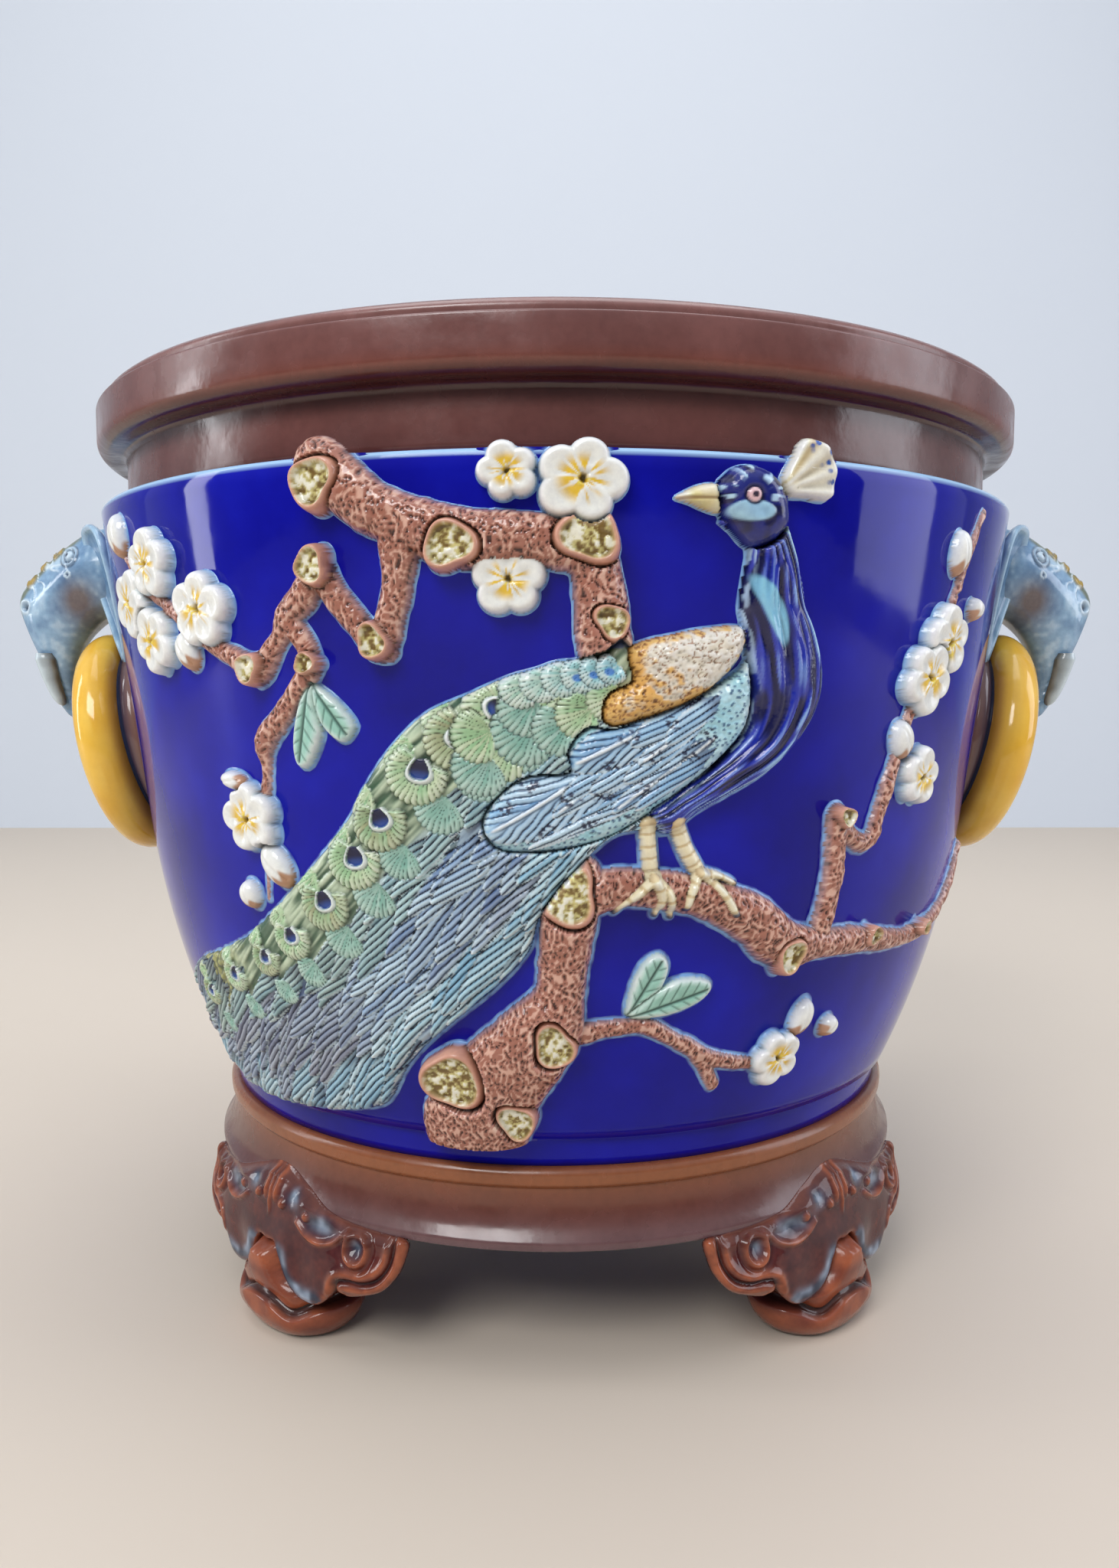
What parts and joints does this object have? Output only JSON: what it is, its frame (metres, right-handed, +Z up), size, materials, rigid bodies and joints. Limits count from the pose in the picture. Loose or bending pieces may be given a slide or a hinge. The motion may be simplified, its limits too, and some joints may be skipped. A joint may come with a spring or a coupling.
{
  "type": "cachepot",
  "caption": "Round glazed earthenware plant-pot holder with a tapering wall, rolled rim, bracket feet, elephant-head ring handles and a moulded bird and blossom relief.",
  "frame": {"origin": "on the supporting surface, under the pot's axis", "axes": "+Z up along the pot's axis, the front relief faces -Y, the two handles lie on X"},
  "size_m": [0.505, 0.415, 0.3695],
  "materials": {
    "cobalt_glaze": "gloss glaze",
    "brown_glaze": "gloss glaze",
    "pad_glaze": "gloss glaze",
    "bracket_glaze": "gloss glaze",
    "elephant_glaze": "gloss glaze",
    "tusk_glaze": "gloss glaze",
    "yellow_glaze": "gloss glaze",
    "bark_glaze": "gloss glaze",
    "knot_glaze": "gloss glaze",
    "leaf_glaze": "gloss glaze",
    "blossom_glaze": "gloss glaze",
    "bud_glaze": "gloss glaze",
    "bird_head_glaze": "gloss glaze",
    "beak_glaze": "gloss glaze",
    "crest_glaze": "gloss glaze",
    "bird_neck_glaze": "gloss glaze",
    "turquoise_glaze": "gloss glaze",
    "wing_glaze": "gloss glaze",
    "train_glaze": "gloss glaze",
    "train_eye_glaze": "gloss glaze",
    "leg_glaze": "gloss glaze"
  },
  "bodies": {
    "root": {"base_ring": "brown_glaze", "bird_beak_back": "beak_glaze", "bird_beak_front": "beak_glaze", "bird_crest_back": "crest_glaze", "bird_crest_front": "crest_glaze", "bird_head_back": "bird_head_glaze", "bird_head_front": "bird_head_glaze", "bird_legs_back": "leg_glaze", "bird_legs_front": "leg_glaze", "bird_neck_back": "bird_neck_glaze", "bird_neck_front": "bird_neck_glaze", "bird_shoulder_back": "turquoise_glaze", "bird_shoulder_front": "turquoise_glaze", "bird_train_back": "train_glaze", "bird_train_front": "train_glaze", "bird_wing_back": "wing_glaze", "bird_wing_front": "wing_glaze", "blossoms_back": "blossom_glaze", "blossoms_front": "blossom_glaze", "branch_knots_back": "knot_glaze", "branch_knots_front": "knot_glaze", "buds_back": "bud_glaze", "buds_front": "bud_glaze", "elephant_ears_left": "elephant_glaze", "elephant_ears_right": "elephant_glaze", "elephant_head_left": "elephant_glaze", "elephant_head_right": "elephant_glaze", "elephant_tusks_left": "tusk_glaze", "elephant_tusks_right": "tusk_glaze", "foot_bracket_back_left": "bracket_glaze", "foot_bracket_back_right": "bracket_glaze", "foot_bracket_front_left": "bracket_glaze", "foot_bracket_front_right": "bracket_glaze", "foot_pad_back_left": "pad_glaze", "foot_pad_back_right": "pad_glaze", "foot_pad_front_left": "pad_glaze", "foot_pad_front_right": "pad_glaze", "handle_ring_left": "yellow_glaze", "handle_ring_right": "yellow_glaze", "leaves_back": "leaf_glaze", "leaves_front": "leaf_glaze", "lower_trunk_back": "bark_glaze", "lower_trunk_front": "bark_glaze", "pot_body": "cobalt_glaze", "rim_collar": "brown_glaze", "train_eyes_back": "train_eye_glaze", "train_eyes_front": "train_eye_glaze", "upper_branch_back": "bark_glaze", "upper_branch_front": "bark_glaze"}
  },
  "joints": []
}
